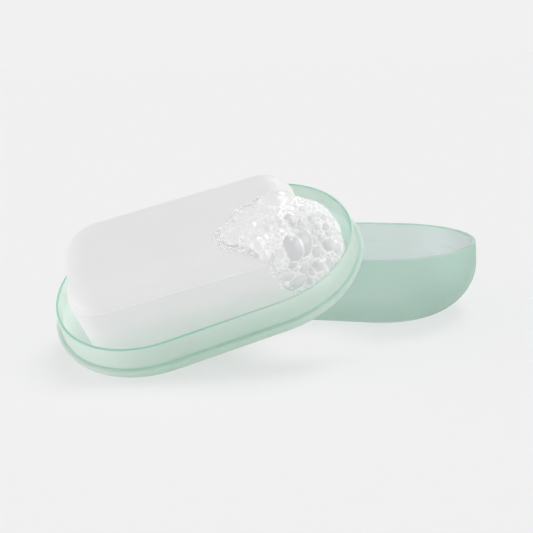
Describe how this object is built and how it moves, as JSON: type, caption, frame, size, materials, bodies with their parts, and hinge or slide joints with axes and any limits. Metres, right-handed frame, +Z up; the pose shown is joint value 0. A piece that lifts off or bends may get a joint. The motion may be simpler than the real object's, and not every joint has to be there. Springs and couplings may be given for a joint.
{
  "type": "travel soap box",
  "caption": "Pill-shaped frosted plastic travel soap box, open: deep cover standing mouth up, shallow collared tray leaning on it with a wet bar of soap and lather.",
  "frame": {"origin": "centre of the deep cover's flat base, on the surface it stands on", "axes": "+X along the deep cover's long side, +Z up out of its mouth, the leaning tray on the -Y side"},
  "size_m": [0.1424, 0.1392, 0.0612],
  "materials": {
    "cover_plastic": "satin",
    "tray_plastic": "satin",
    "soap": "satin",
    "lather": "gloss"
  },
  "bodies": {
    "cover": {"deep_cover": "cover_plastic"},
    "tray": {"soap_tray": "tray_plastic"},
    "soap": {"soap_bar": "soap", "lather": "lather"}
  },
  "joints": [
    {"name": "tray_lift", "type": "slide", "parent": "cover", "child": "tray", "axis": [0, 0, 1], "range_m": [0, 0.06]},
    {"name": "soap_lift", "type": "slide", "parent": "tray", "child": "soap", "axis": [-0.0443, -0.4838, 0.8741], "range_m": [0, 0.04]}
  ]
}
